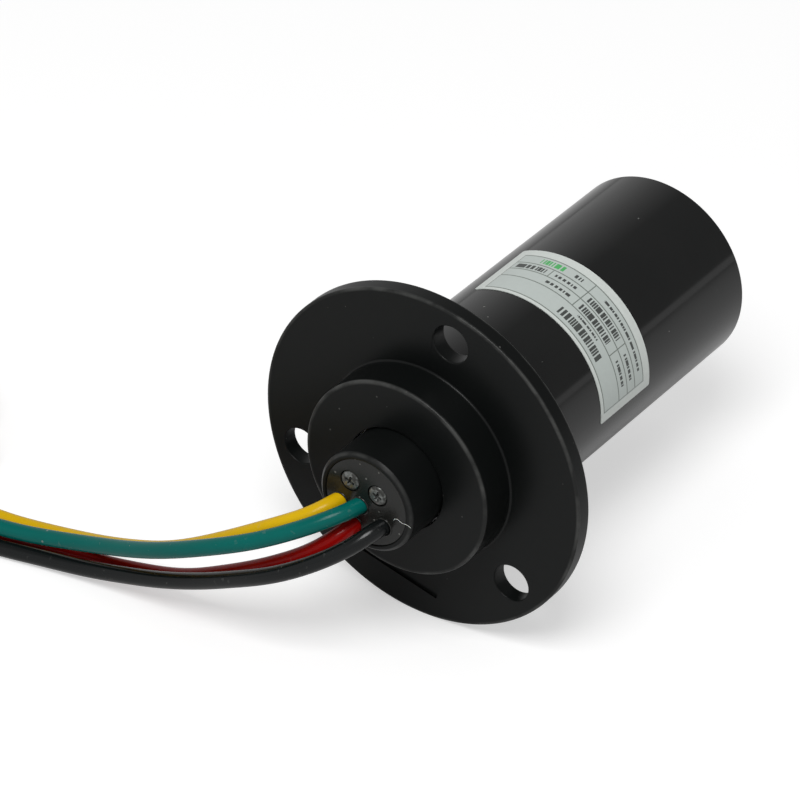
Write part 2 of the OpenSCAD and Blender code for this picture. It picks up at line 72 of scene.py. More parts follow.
FLANGE_R, BOSS_TOP, SPIGOT_END = reach("flange_housing")
TUBE_R, TUBE_SEAT, TUBE_END = reach("housing_tube")
NOZZLE_R, NOZZLE_TOP, SHAFT_END = reach("rotor_shaft")
PLATE_R, PLATE_TOP, WEB_TOP = reach("outlet_plate")
FLANGE_FRONT = -2.6 * MM
BOSS_R = 15.5 * MM
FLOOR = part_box("flange_housing")[0].z
print(f"flange {2000 * FLANGE_R:.1f} mm, tube {2000 * TUBE_R:.1f} mm, nozzle {2000 * NOZZLE_R:.1f} mm")

# %% [markdown]
# ## The camera
# A long lens from well above the front, a little to the right: parallel edges stay nearly
# parallel, as in a catalogue picture. The leads run out of the left side.

# %% Place the camera
CAMERA_AZIMUTH, CAMERA_ELEVATION = 35.335, 33.975
camera_data = bpy.data.cameras.new("studio_camera")
camera_data.sensor_width = 36
camera_data.lens = 199.56
camera_data.clip_start, camera_data.clip_end = 0.05, 20
camera = bpy.data.objects.new("studio_camera", camera_data)
camera.location = (0.29630, -0.42537, 0.35795)
camera.rotation_euler = (math.radians(90 - CAMERA_ELEVATION), 0, math.radians(CAMERA_AZIMUTH))
bpy.context.collection.objects.link(camera)
bpy.context.scene.camera = camera
print(f"camera {camera.location.length * 1000:.0f} mm from the flange")

# %% [markdown]
# ## The leads
# Each lead is one soft tube of a fixed length: straight out of the outlet plate, down under its own
# weight, and on to the table, where the rest is wound into one flat coil with a layer for each
# lead. The route's points are listed and a B-spline smooths them; the coil's turns are
# worked out. A curve with a round bevel draws the tube, and is then made a mesh; its line of points
# is kept, because the lead's length is measured along it. The far ends are stripped and tinned:
# there the last few millimetres are a thinner piece of their own.

# %% The leads' routes
LEAD_D = 2.5 * MM
LEAD_LENGTH = 250 * MM
COIL_AT = Vector((-93, -14, 0)) * MM
COIL_R = 13.75 * MM
TRACKS = 3
ROUTES = {
    "yellow": [(-4.5, -15, -1.5), (-5, -17.5, -1.5), (-6.5, -19.5, -2.5), (-9.5, -21.5, -4),
               (-14, -23, -6.5), (-20.5, -24, -10.5), (-28, -24, -15), (-36, -22.5, -19),
               (-44.5, -21, -22.5), (-53, -20, -25), (-62, -21.5, -25.5), (-69, -23.5, -23.5),
               (-76.5, -26, -20.5), (-84.5, -28, -17.5), (-93, -30.25, -17.45)],
    "green": [(-1, -15, -1), (-1.5, -17.5, -1), (-3, -20, -1.5), (-6, -22.5, -3), (-12, -25.5, -6),
              (-19, -27, -9), (-27, -27, -13), (-35, -25.5, -17), (-43.5, -24, -20.5),
              (-52, -24.5, -22.5), (-60, -25.5, -23.5), (-68, -27.5, -22), (-76, -28.5, -21),
              (-84, -29.5, -20), (-93, -30.25, -19.95)],
    "red": [(-2, -15, -4.5), (-2.5, -17.5, -5), (-4, -19.5, -6.5), (-7.5, -20.5, -9.5),
            (-14.5, -21.5, -14), (-21.5, -21.5, -18), (-28, -21.5, -21.5), (-35.5, -21, -24),
            (-44, -21.5, -25.5), (-52, -22.5, -25.75), (-60, -24.5, -25.75), (-68, -26, -24.5),
            (-76, -27.5, -23.5), (-84, -29.5, -22.5), (-93, -30.25, -22.45)],
    "black": [(3, -15, -3), (2.5, -17.5, -3), (1, -20, -4.5), (-3, -22.5, -7.5),
              (-9.5, -24.5, -11.5), (-16.5, -24.5, -15), (-23, -24, -18.5), (-30.5, -24, -21.5),
              (-37.5, -24, -23.5), (-44.5, -24.5, -25), (-52, -25.5, -25.5), (-59, -27, -25.75),
              (-68, -28.5, -25.5), (-76, -29.5, -25.5), (-84, -30, -25), (-93, -30.25, -24.95)],
}


def spline(points, steps=8):
    """A uniform cubic B-spline through the thirds of a route, with its ends kept."""
    knots = [Vector(p) * MM for p in points]
    knots = [2 * knots[0] - knots[1], *knots, 2 * knots[-1] - knots[-2]]
    line = []
    for a, b, c, d in zip(knots, knots[1:], knots[2:], knots[3:]):
        for k in range(steps):
            t = k / steps
            line.append(((1 - t) ** 3 * a + (3 * t**3 - 6 * t**2 + 4) * b
                         + (-3 * t**3 + 3 * t**2 + 3 * t + 1) * c + t**3 * d) / 6)
    return line + [knots[-2]]


def wound(start, length, steps=48):
    """Turns of a flat spiral from the point where a lead meets the coil, one lead apart."""
    outer = (start - COIL_AT).xy.length
    line, angle, gone = [], math.radians(-90), 0.0
    while gone < length:
        angle -= math.tau / steps
        radius = outer + LEAD_D * (angle + math.pi / 2) / math.tau
        point = Vector((COIL_AT.x + radius * math.cos(angle), COIL_AT.y + radius * math.sin(angle),
                        start.z))
        gone += (point - (line[-1] if line else start)).length
        line.append(point)
    return line


def length_of(line):
    return sum((b - a).length for a, b in zip(line, line[1:]))


TIP_LENGTH = 5 * MM
LINES, BARE = {}, {}
for colour, route in ROUTES.items():
    free = spline(route)
    line = free + wound(free[-1], LEAD_LENGTH + TIP_LENGTH - length_of(free))
    while length_of(line[:len(line) - len(BARE.get(colour, []))]) > LEAD_LENGTH:
        BARE[colour] = line[-len(BARE.get(colour, [])) - 1:]
    LINES[colour] = line[:len(line) - len(BARE[colour]) + 1]
    print(f"{colour} lead: {1000 * length_of(free):.0f} mm free, "
          f"{1000 * length_of(LINES[colour]):.0f} mm in all")


# %% Draw the leads and their tinned ends
def tube_along(name, line, radius, resolution):
    """A round curve along a line of points, converted to a mesh tube."""
    curve = bpy.data.curves.new(name, "CURVE")
    curve.dimensions, curve.use_fill_caps = "3D", True
    curve.bevel_depth, curve.bevel_resolution = radius, resolution
    track = curve.splines.new("POLY")
    track.points.add(len(line) - 1)
    for point, place in zip(track.points, line):
        point.co = (*place, 1)
    piece = bpy.data.objects.new(name, curve)
    bpy.context.collection.objects.link(piece)
    bpy.ops.object.select_all(action="DESELECT")
    piece.select_set(True)
    bpy.context.view_layer.objects.active = piece
    bpy.ops.object.convert(target="MESH")
    return bpy.context.object


PIECES = {}


def belongs(piece, body, slot, *nodes):
    """Lets a piece ride on a body, take a finish, and stand for the solids that it replaces."""
    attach(piece, body)
    if nodes:
        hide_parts(*nodes)
    PIECES[piece.name] = slot
    return piece


LEADS, TIPS = {}, {}
for colour, line in LINES.items():
    LEADS[colour] = belongs(tube_along(f"lead_{colour}_insulation", line, LEAD_D / 2, 6),
                            "rotor", f"{colour}_insulation", f"lead_{colour}", "lead_coil")
    TIPS[colour] = belongs(
        tube_along(f"lead_{colour}_tinned_end", BARE[colour], 0.8 * MM, 4), "rotor", "steel_screw")
print("leads drawn:", ", ".join(LEADS))

# %% [markdown]
# ## Working with operators
# Blender's operators act on whatever is selected, so every step starts from an empty selection.
# Almost every piece here came off a lathe or out of a round mould, so one helper draws a profile
# point by point, starting from a plane merged to a single corner, and spins it about the shaft.

# %% Helpers that start, turn, cut and smooth a piece
def nothing_selected():
    if bpy.context.object and bpy.context.object.mode != "OBJECT":
        bpy.ops.object.mode_set(mode="OBJECT")
    bpy.ops.object.select_all(action="DESELECT")


def only(piece):
    nothing_selected()
    piece.select_set(True)
    bpy.context.view_layer.objects.active = piece
    return piece


def newest(name):
    piece = bpy.context.object
    piece.name = piece.data.name = name
    return piece


def settle(piece):
    """Moves a piece's place, turn and size into its mesh, so its object sits at the origin."""
    only(piece)
    bpy.ops.object.transform_apply(location=True, rotation=True, scale=True)
    return piece


def arc(radius, y, size, first, last, steps=5):
    """Corner points of a profile, round a centre given as (radius, place along Y)."""
    turns = [math.radians(first + (last - first) * k / steps) for k in range(steps + 1)]
    return [(radius + size * math.cos(t), y + size * math.sin(t)) for t in turns]


def turned(name, profile, steps=192, closed=True):
    """Draws a profile of (radius, place along Y) corners and spins it once round the shaft."""
    nothing_selected()
    bpy.ops.mesh.primitive_plane_add(size=MM, location=(profile[0][0], profile[0][1], 0))
    piece = newest(name)
    settle(piece)
    bpy.ops.object.mode_set(mode="EDIT")
    bpy.ops.mesh.select_mode(type="VERT")
    bpy.ops.mesh.select_all(action="SELECT")
    bpy.ops.mesh.merge(type="CENTER")
    for (r0, y0), (r1, y1) in zip(profile, profile[1:] + profile[:1] * closed):
        bpy.ops.mesh.extrude_vertices_move(TRANSFORM_OT_translate={"value": (r1 - r0, y1 - y0, 0)})
    bpy.ops.mesh.select_all(action="SELECT")
    bpy.ops.mesh.spin(steps=steps, angle=math.tau, center=(0, 0, 0), axis=(0, 1, 0))
    bpy.ops.mesh.select_all(action="SELECT")
    bpy.ops.mesh.remove_doubles(threshold=0.001 * MM)
    bpy.ops.mesh.normals_make_consistent(inside=False)
    bpy.ops.object.mode_set(mode="OBJECT")
    return piece


def peg(radius, x, z, y0, y1, sides=48):
    """A straight round cutter along the shaft's direction."""
    nothing_selected()
    bpy.ops.mesh.primitive_cylinder_add(vertices=sides, radius=radius, depth=abs(y1 - y0),
                                        location=(x, (y0 + y1) / 2, z),
                                        rotation=(math.pi / 2, 0, 0))
    return settle(newest("cutter"))


def cut(piece, *cutters, operation="DIFFERENCE"):
    """Takes each cutter away from the piece, and then deletes the cutter."""
    for cutter in cutters:
        only(piece)
        boolean = piece.modifiers.new("cut", "BOOLEAN")
        boolean.operation, boolean.solver, boolean.object = operation, "EXACT", cutter
        bpy.ops.object.modifier_apply(modifier=boolean.name)
        bpy.data.objects.remove(cutter)
    return piece


def pick(piece, kind, test):
    """Opens edit mode with only the corners, edges or faces that pass the test selected."""
    only(piece)
    bpy.ops.object.mode_set(mode="EDIT")
    bpy.ops.mesh.select_mode(type=kind)
    bpy.ops.mesh.select_all(action="DESELECT")
    bpy.ops.object.mode_set(mode="OBJECT")
    mesh = piece.data
    parts = {"VERT": mesh.vertices, "EDGE": mesh.edges, "FACE": mesh.polygons}[kind]
    for part in parts:
        part.select = test(part)
    chosen = sum(part.select for part in parts)
    bpy.ops.object.mode_set(mode="EDIT")
    return chosen


def round_edges(piece, test, width, segments=3):
    """Bevels the edges whose two corners both pass the test."""
    corners = piece.data.vertices
    chosen = pick(piece, "EDGE", lambda edge: all(test(corners[i].co) for i in edge.vertices))
    bpy.ops.mesh.bevel(offset=width, segments=segments, affect="EDGES")
    bpy.ops.object.mode_set(mode="OBJECT")
    return chosen


def smooth(piece, angle=35):
    """Smooth shading with crisp corners, where wide flat faces keep their own direction."""
    only(piece)
    bpy.ops.object.shade_smooth_by_angle(angle=math.radians(angle))
    weighted = piece.modifiers.new("flat faces", "WEIGHTED_NORMAL")
    weighted.keep_sharp = True
    bpy.ops.object.modifier_apply(modifier=weighted.name)
    return piece


def joined(name, pieces):
    nothing_selected()
    for piece in pieces:
        piece.select_set(True)
    bpy.context.view_layer.objects.active = pieces[0]
    bpy.ops.object.join()
    return newest(name)


def polar(radius, degrees):
    """The x and z of a point round the shaft, from +X towards +Z."""
    return radius * math.cos(math.radians(degrees)), radius * math.sin(math.radians(degrees))


print("helpers ready")

# %% [markdown]
# ## The flange and its boss
# One moulding: a thin round plate with a boss on its front and a spigot behind. Its outline turns
# round the shaft, so it is spun; the bolt holes and the sunk name panel are then cut out of it, and
# the edges of the holes are rounded as a mould leaves them. The panel stays bare.

# %% Turn the flange, drill it and sink its panel
BOLTS = MOUNTS["flange_bolts"]["dims"]
BOLT_R, BOLT_HOLE_R = BOLTS["pcd_mm"] / 2 * MM, BOLTS["hole_r_mm"] * MM
BOLT_TURN = 76.4
BEARING_R, BEARING_FRONT = 12.03 * MM, -6.8 * MM
MOUTH_R = NOZZLE_R + 0.2 * MM
SPIGOT_R = 13.72 * MM
SEAT_R = TUBE_R + 0.03 * MM


def flange_profile():
    rim, foot, top, lip = 0.28 * MM, 0.35 * MM, 0.34 * MM, 0.12 * MM
    return [
        (BEARING_R, SPIGOT_END), *arc(SPIGOT_R - lip, SPIGOT_END - lip, lip, 90, 0),
        (SPIGOT_R, TUBE_SEAT), (SEAT_R, TUBE_SEAT), (SEAT_R, 0),
        *arc(FLANGE_R - rim, -rim, rim, 90, 0),
        *arc(FLANGE_R - rim, FLANGE_FRONT + rim, rim, 0, -90),
        *arc(BOSS_R + foot, FLANGE_FRONT - foot, foot, 90, 180),
        *arc(BOSS_R - top, BOSS_TOP + top, top, 0, -90),
        *arc(MOUTH_R + lip, BOSS_TOP + lip, lip, -90, -180),
        (MOUTH_R, BEARING_FRONT), (BEARING_R, BEARING_FRONT),
    ]


flange = turned("flange_moulding", flange_profile(), steps=256)
bolt_places = [polar(BOLT_R, BOLT_TURN + 120 * k) for k in range(BOLTS["count"])]
cut(flange, *[peg(BOLT_HOLE_R, x, z, -4 * MM, MM, 64) for x, z in bolt_places])


def at_a_bolt_hole(corner):
    flat = min(abs(corner.y), abs(corner.y - FLANGE_FRONT)) < 0.01 * MM
    return flat and any(abs(math.dist((corner.x, corner.z), place) - BOLT_HOLE_R) < 0.01 * MM
                        for place in bolt_places)


print("edges of bolt holes rounded:", round_edges(flange, at_a_bolt_hole, 0.18 * MM))

PANEL_LONG, PANEL_WIDE, PANEL_DEEP = 16.8 * MM, 5.2 * MM, 0.4 * MM
panel_x, panel_z = polar(FLANGE_R - 5 * MM - PANEL_WIDE / 2, BOLT_TURN - 180)
nothing_selected()
bpy.ops.mesh.primitive_cube_add(size=1, scale=(PANEL_WIDE, 2 * PANEL_DEEP, PANEL_LONG),
                                location=(panel_x, FLANGE_FRONT, panel_z),
                                rotation=(0, math.radians(180 - BOLT_TURN), 0))
panel = settle(newest("panel_cutter"))
bpy.ops.object.mode_set(mode="EDIT")
bpy.ops.mesh.select_all(action="SELECT")
bpy.ops.mesh.bevel(offset=0.05 * MM, segments=1, affect="EDGES")
bpy.ops.object.mode_set(mode="OBJECT")
cut(flange, panel)
smooth(flange)
belongs(flange, "stator", "black_moulding", "flange_housing")
print("flange:", len(flange.data.polygons), "faces")

# %% [markdown]
# ## The housing tube
# A length of polished tube, pressed over the flange's spigot. Only its ends need shaping: a small
# lead-in at the seat, and a rounded outer edge at the rear.

# %% Turn the tube
TUBE_BORE_R = TUBE_R - 1.5 * MM
edge = 0.3 * MM
tube = turned("polished_tube", [
    (TUBE_BORE_R, TUBE_SEAT), (TUBE_R - 0.15 * MM, TUBE_SEAT), (TUBE_R, 0),
    *arc(TUBE_R - edge, TUBE_END - edge, edge, 0, 90),
    *arc(TUBE_BORE_R + edge / 2, TUBE_END - edge / 2, edge / 2, 90, 180)], steps=256)
smooth(tube)
belongs(tube, "stator", "gloss_black_tube", "housing_tube")
print(f"tube: {1000 * (TUBE_END - TUBE_SEAT):.1f} mm long")

# %% [markdown]
# ## The label
# A thin film stuck round the tube. A grid is added flat, its corners are rounded, and each of its
# points is then laid round the tube, so the film keeps an even thickness and its UV map measures
# true distances along it. The print is drawn later, in its finish.

# %% Wrap the label round the tube
LABEL_LOW, LABEL_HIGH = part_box("rating_label")
LABEL_R = TUBE_R + 0.12 * MM
LABEL_WIDE = LABEL_HIGH.y - LABEL_LOW.y
LABEL_FIRST, LABEL_SWEEP = -4.3, 121
LABEL_LONG = LABEL_R * math.radians(LABEL_SWEEP)
nothing_selected()
bpy.ops.mesh.primitive_grid_add(x_subdivisions=120, y_subdivisions=8, size=1,
                                location=(LABEL_LONG / 2, LABEL_WIDE / 2, 0))
label = newest("label_film")
label.scale = (LABEL_LONG, LABEL_WIDE, 1)
settle(label)
corners = [(x, y) for x in (0, LABEL_LONG) for y in (0, LABEL_WIDE)]
pick(label, "VERT", lambda vertex: any(math.dist(vertex.co.xy, corner) < 0.01 * MM
                                       for corner in corners))
bpy.ops.mesh.bevel(offset=0.25 * MM, segments=4, affect="VERTICES")
bpy.ops.object.mode_set(mode="OBJECT")
film_map = label.data.uv_layers.active or label.data.uv_layers.new(name="film")
for loop in label.data.loops:
    flat = label.data.vertices[loop.vertex_index].co
    film_map.data[loop.index].uv = (flat.x / LABEL_LONG, flat.y / LABEL_WIDE)
for vertex in label.data.vertices:
    x, z = polar(LABEL_R, LABEL_FIRST + LABEL_SWEEP * vertex.co.x / LABEL_LONG)
    vertex.co = (x, LABEL_LOW.y + vertex.co.y, z)
only(label)
thickness = label.modifiers.new("film thickness", "SOLIDIFY")
thickness.thickness, thickness.offset = 0.11 * MM, 1
bpy.ops.object.modifier_apply(modifier=thickness.name)
smooth(label)
belongs(label, "stator", "silver_label", "rating_label")
print(f"label: {1000 * LABEL_LONG:.1f} x {1000 * LABEL_WIDE:.1f} mm")

# %% [markdown]
# ## The turning nozzle
# The rotor's front end is a tube with a thin rim round a sunk outlet plate. Behind the plate a web
# closes it, with a hole for each lead, and a tail runs back through the front bearing.

# %% Turn the rotor and drill its web
LEAD_EXITS = {colour: (line[0].x, line[0].z) for colour, line in LINES.items()}
LEAD_HOLE_R = LEAD_D / 2 + 0.2 * MM
SCREW_PLACES = [(-2.7 * MM, 2.6 * MM), (2 * MM, 1.9 * MM)]
WEB_FOOT = -9.6 * MM
SHAFT_R = 7.47 * MM
CORE_R = 5.03 * MM
RIM_BORE_R = PLATE_R + 0.03 * MM


def rotor_profile():
    rim, soft = 0.5 * MM, 0.08 * MM
    return [
        (CORE_R, SHAFT_END), (SHAFT_R, SHAFT_END), (SHAFT_R, BEARING_FRONT),
        (NOZZLE_R, BEARING_FRONT), *arc(NOZZLE_R - soft, NOZZLE_TOP + rim, soft, 0, -45, 2),
        *arc(NOZZLE_R - rim, NOZZLE_TOP + soft, soft, -45, -90, 2),
        *arc(RIM_BORE_R + soft, NOZZLE_TOP + soft, soft, -90, -180, 2),
        (RIM_BORE_R, WEB_TOP), (0, WEB_TOP), (0, WEB_FOOT), (NOZZLE_R - 1.4 * MM, WEB_FOOT),
        (4.25 * MM, -1.5 * MM), (CORE_R, -1.5 * MM),
    ]


rotor = turned("rotor_nozzle", rotor_profile(), steps=192)
cut(rotor, *[peg(LEAD_HOLE_R, x, z, WEB_TOP - MM, WEB_FOOT + MM) for x, z in LEAD_EXITS.values()])
cut(rotor, *[peg(0.83 * MM, x, z, WEB_TOP - MM, WEB_TOP + 3 * MM) for x, z in SCREW_PLACES])
smooth(rotor)
belongs(rotor, "rotor", "black_moulding", "rotor_shaft")
print("rotor:", len(rotor.data.polygons), "faces")

# %% [markdown]
# ## The outlet plate and its seals
# A glossy disc that the leads come through, poured level with the rim, so that the two screws that
# hold it lie in shallow wells. Each lead is sealed with a fine bead of resin that has climbed up
# the insulation: a small torus, sunk halfway into the disc.

# %% Make the plate and the beads
RESIN_TOP = NOZZLE_TOP + 0.12 * MM
soft = 0.12 * MM
plate = turned("outlet_disc", [
    (0, WEB_TOP), (PLATE_R, WEB_TOP), *arc(PLATE_R - soft, RESIN_TOP + soft, soft, 0, -90),
    (0, RESIN_TOP)], steps=128, closed=False)
cut(plate, *[peg(LEAD_HOLE_R, x, z, RESIN_TOP - MM, WEB_TOP + MM) for x, z in LEAD_EXITS.values()])
cut(plate, *[peg(1.68 * MM, x, z, RESIN_TOP - MM, PLATE_TOP) for x, z in SCREW_PLACES])
smooth(plate)
belongs(plate, "rotor", "gloss_resin", "outlet_plate")

beads = []
for x, z in LEAD_EXITS.values():
    nothing_selected()
    bpy.ops.mesh.primitive_torus_add(major_radius=LEAD_D / 2 + 0.1 * MM, minor_radius=0.14 * MM,
                                     major_segments=48, minor_segments=12,
                                     location=(x, RESIN_TOP, z), rotation=(math.pi / 2, 0, 0))
    beads.append(settle(newest("bead")))
seals = smooth(joined("lead_seals", beads))
belongs(seals, "rotor", "gloss_resin")
print("plate and", len(beads), "beads")

# %% [markdown]
# ## Pan-head screws
# The outlet plate and the rear cap are held by small pan-head screws. One function turns a screw
# with its head up the shaft's -Y side, and sinks a tapered cross into it with a four-sided cone
# stretched into a blade, laid twice.

# %% A screw with a cross recess
def cross_cutter(size, depth, top):
    blades = []
    for turn in (20, 110):
        nothing_selected()
        bpy.ops.mesh.primitive_cube_add(size=1, scale=(size, 2 * depth, size * 0.26),
                                        location=(0, top, 0), rotation=(0, math.radians(turn), 0))
        blade = settle(newest("blade"))
        for vertex in blade.data.vertices:
            if vertex.co.y > top:
                vertex.co.x *= 0.6
                vertex.co.z *= 0.6
        blades.append(blade)
    return blades


def screw(name, x, z, seat, head_r, head_h, shank_r, shank_l, facing=-1):
    """A pan-head screw along the shaft. facing is -1 where its head looks to -Y, and 1 to +Y."""
    crown = 0.45 * head_h
    body = turned(name, [
        (0, shank_l), (shank_r * 0.7, shank_l), (shank_r, shank_l - 0.3 * shank_r), (shank_r, 0),
        (head_r, 0), *arc(head_r - crown, crown - head_h, crown, 0, -70),
        (head_r * 0.4, -head_h - 0.02 * MM), (0, -head_h - 0.03 * MM)], steps=64, closed=False)
    cut(body, *cross_cutter(1.35 * head_r, 0.7 * head_h, -head_h))
    smooth(body)
    if facing > 0:
        body.rotation_euler = (math.pi, 0, 0)
    body.location = (x, seat, z)
    return settle(body)


plate_screws = [screw("plate_screw", x, z, PLATE_TOP, 1.5 * MM, 0.8 * MM, 0.8 * MM, 2.6 * MM)
                for x, z in SCREW_PLACES]
outlet_screws = joined("outlet_screws", plate_screws)
belongs(outlet_screws, "rotor", "steel_screw", "outlet_plate_screws")
print("screws in the outlet plate:", len(plate_screws))

# %% [markdown]
# ## The rear cap
# A disc that closes the rear of the tube, a little way inside its rounded end. Three pillars reach
# forward from it to the rear bearing's plate, each with a screw sunk in the disc. The wires that
# stand still leave through the round hole in the middle. The disc is spun with its edges rounded;
# the pillars are joined on and everything is drilled.

# %% Turn, join and drill the rear cap
cap_low, cap_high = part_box("rear_cap")
CAP_R, CAP_END, PILLAR_TOP = cap_high.x, cap_high.y, cap_low.y
OUTLET_R, CAP_T = 4.5 * MM, 3 * MM
CAP_FRONT = CAP_END - CAP_T
screw_low, screw_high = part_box("rear_cap_screws")
HEAD_R, SHANK_R, HEAD_H = 1.9 * MM, 1 * MM, 1.3 * MM
PILLAR_AT = screw_high.x - HEAD_R
PILLAR_R = 2.3 * MM
edge = 0.35 * MM
cap = turned("rear_closing_cap", [
    (OUTLET_R, CAP_FRONT), (CAP_R, CAP_FRONT), *arc(CAP_R - edge, CAP_END - edge, edge, 0, 90),
    *arc(OUTLET_R + edge, CAP_END - edge, edge, 90, 180)])
pillar_places = [polar(PILLAR_AT, 120 * k) for k in range(3)]
cut(cap, *[peg(PILLAR_R, x, z, PILLAR_TOP, CAP_FRONT + MM) for x, z in pillar_places],
    operation="UNION")
cut(cap, *[peg(SHANK_R + 0.03 * MM, x, z, PILLAR_TOP - MM, CAP_END + MM) for x, z in pillar_places])
SCREW_SEAT = screw_high.y - HEAD_H
cut(cap, *[peg(HEAD_R + 0.2 * MM, x, z, SCREW_SEAT, CAP_END + MM) for x, z in pillar_places])


def at_a_counterbore(corner):
    return abs(corner.y - CAP_END) < 0.01 * MM and any(
        abs(math.dist((corner.x, corner.z), place) - HEAD_R - 0.2 * MM) < 0.01 * MM
        for place in pillar_places)


print("edges of counterbores rounded:", round_edges(cap, at_a_counterbore, 0.15 * MM))
smooth(cap)
belongs(cap, "stator", "black_moulding", "rear_cap")

cap_screws = joined("cap_screws", [
    screw("cap_screw", x, z, SCREW_SEAT, HEAD_R, HEAD_H, SHANK_R, SCREW_SEAT - screw_low.y, facing=1)
    for x, z in pillar_places])
belongs(cap_screws, "stator", "steel_screw", "rear_cap_screws")
print("rear cap and its three screws")

# %% [markdown]
# ## Cable ties
# Two narrow nylon ties hold the coil. Each is a thin band round the bundle, a square head at its
# side and a short cut tail. The band starts as a cube: its two side faces are inset and bridged,
# which opens it into a window. The head is a cube with its front inset and pushed in for the slot,
# and the tail is a thin strip drawn up out of it.

# %% Close the ties round the coil
tie_low, tie_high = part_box("coil_ties")
TIE_WIDE, TIE_T = 2.4 * MM, 0.7 * MM


def block(name, low, high):
    nothing_selected()
    low, high = Vector(low), Vector(high)
    bpy.ops.mesh.primitive_cube_add(size=1, location=(low + high) / 2, scale=high - low)
    return settle(newest(name))


def tie(x0, x1, side):
    """A band from x0 to x1. side is -1 where its head is at the low end, and 1 at the high end."""
    y = (tie_low.y + tie_high.y) / 2
    band = block("band", (x0, y - TIE_WIDE / 2, tie_low.z), (x1, y + TIE_WIDE / 2, tie_high.z))
    pick(band, "FACE", lambda face: abs(face.normal.y) > 0.9)
    bpy.ops.mesh.inset(thickness=TIE_T, depth=0)
    bpy.ops.mesh.bridge_edge_loops()
    bpy.ops.object.mode_set(mode="OBJECT")
    x, z = (x0 if side < 0 else x1), (tie_low.z + tie_high.z) / 2
    head = block("head", (x - 1.1 * MM, y - 1.9 * MM, z - 1.6 * MM),
                 (x + 1.1 * MM, y + 1.9 * MM, z + 1.6 * MM))
    head.data.transform(Matrix.Translation((side * 0.8 * MM, 0, 0)))
    pick(head, "FACE", lambda face: face.normal.z > 0.9)
    bpy.ops.mesh.inset(thickness=0.5 * MM, depth=-0.6 * MM)
    bpy.ops.mesh.extrude_region_move(TRANSFORM_OT_translate={"value": (0, 0, 5 * MM)})
    bpy.ops.transform.resize(value=(0.35, 0.75, 1))
    bpy.ops.object.mode_set(mode="OBJECT")
    whole = joined("tie", [band, head])
    corners = whole.modifiers.new("soft corners", "BEVEL")
    corners.width, corners.segments, corners.limit_method = 0.15 * MM, 2, "ANGLE"
    only(whole)
    bpy.ops.object.modifier_apply(modifier=corners.name)
    return whole


TIE_SPAN = 9.1 * MM
ties = joined("coil_tie_pair", [tie(tie_low.x, tie_low.x + TIE_SPAN, -1),
                                tie(tie_high.x - TIE_SPAN, tie_high.x, 1)])
smooth(ties)
belongs(ties, "rotor", "nylon_tie", "coil_ties")
for colour, lead in LEADS.items():
    [TIPS[colour]] + ([ties] if colour == "red" else [])
print("ties:", len(ties.data.polygons), "faces")

# %% [markdown]
# ## A stray fibre
# Black plastic draws dust. A short fibre has caught on the nozzle's rim beside the black lead. It
# is a thin bent thread, far too small to matter to the shape, but the eye misses it on a real part
# that has been handled.

# %% Lay the fibre over the rim
fibre = tube_along("dust_fibre", [Vector(place) * MM for place in (
    (4.8, -15.75, -1.1), (5.0, -15.78, -0.7), (5.5, -15.76, -0.6), (6.0, -15.8, -0.8),
    (6.4, -15.84, -0.9), (6.9, -15.86, -0.8), (7.4, -15.85, -0.9), (7.7, -15.7, -1.2))], 0.03 * MM, 1)
belongs(fibre, "rotor", "nylon_tie")
print("fibre laid")

# %% [markdown]
# ## Wires for shader maths
# A finish is a small sum of noises and masks. Wiring each Math node by hand hides the sum, so one
# class wraps a socket: Python's operators on it add Math nodes, also with a plain number on the
# left. Every other node comes from its one method, add, which takes the node's type, its settings,
# and what goes into its sockets.

# %% One class that turns Python sums into nodes
class Wire:
    def __init__(self, socket):
        self.socket = socket

    def add(self, kind, settings=None, sockets=None, out=0):
        """Adds a node: first its settings, then the values or links of its sockets."""
        node = self.socket.id_data.nodes.new(kind)
        for name, value in (settings or {}).items():
            if name == "stops":
                ramp = node.color_ramp.elements
                for stop in value[2:]:
                    ramp.new(stop[0])
                for element, (place, tone) in zip(ramp, value):
                    element.position, element.color = place, (tone, tone, tone, 1)
            else:
                setattr(node, name, value)
        for name, value in (sockets or {}).items():
            if isinstance(value, Wire):
                self.socket.id_data.links.new(value.socket, node.inputs[name])
            else:
                node.inputs[name].default_value = value
        return Wire(node.outputs[out])

    def maths(self, operation, *others):
        return self.add("ShaderNodeMath", {"operation": operation},
                        dict(enumerate((self, *others))))

    def __add__(self, other):
        return self.maths("ADD", other)

    def __mul__(self, other):
        return self.maths("MULTIPLY", other)

    __radd__, __rmul__ = __add__, __mul__

    def __sub__(self, other):
        return self.maths("SUBTRACT", other)

    def __rsub__(self, other):
        return (self * -1) + other

    def __truediv__(self, other):
        return self.maths("DIVIDE", other)

    def __pow__(self, other):
        return self.maths("POWER", other)

    def __gt__(self, other):
        return self.maths("GREATER_THAN", other)

    def __lt__(self, other):
        return self.maths("LESS_THAN", other)

    def near(self, value, reach):
        """1 where this lies within reach of the value, else 0."""
        return self.maths("COMPARE", value, reach)

    def ramp(self, *stops):
        return self.add("ShaderNodeValToRGB", {"stops": stops}, {"Fac": self})

    def paint(self, under, over):
        """Colours: under where this is 0, over where it is 1."""
        colours = {6: under, 7: over}
        for name, colour in colours.items():
            if not isinstance(colour, Wire):
                colours[name] = (*colour, 1)
        return self.add("ShaderNodeMix", {"data_type": "RGBA"}, {0: self, **colours}, out=2)

    def noise(self, scale, detail=2, out="Fac"):
        return self.add("ShaderNodeTexNoise", None,
                        {"Vector": self, "Scale": scale, "Detail": detail}, out)

    def stretched(self, x, y, z):
        return self.add("ShaderNodeMapping", None, {"Vector": self, "Scale": (x, y, z)})

    def part(self, axis):
        return self.add("ShaderNodeSeparateXYZ", None, {"Vector": self}, axis)


def bump(height, distance, strength=1.0):
    return height.add("ShaderNodeBump", None,
                      {"Height": height, "Distance": distance, "Strength": strength})


FINISHES = {}


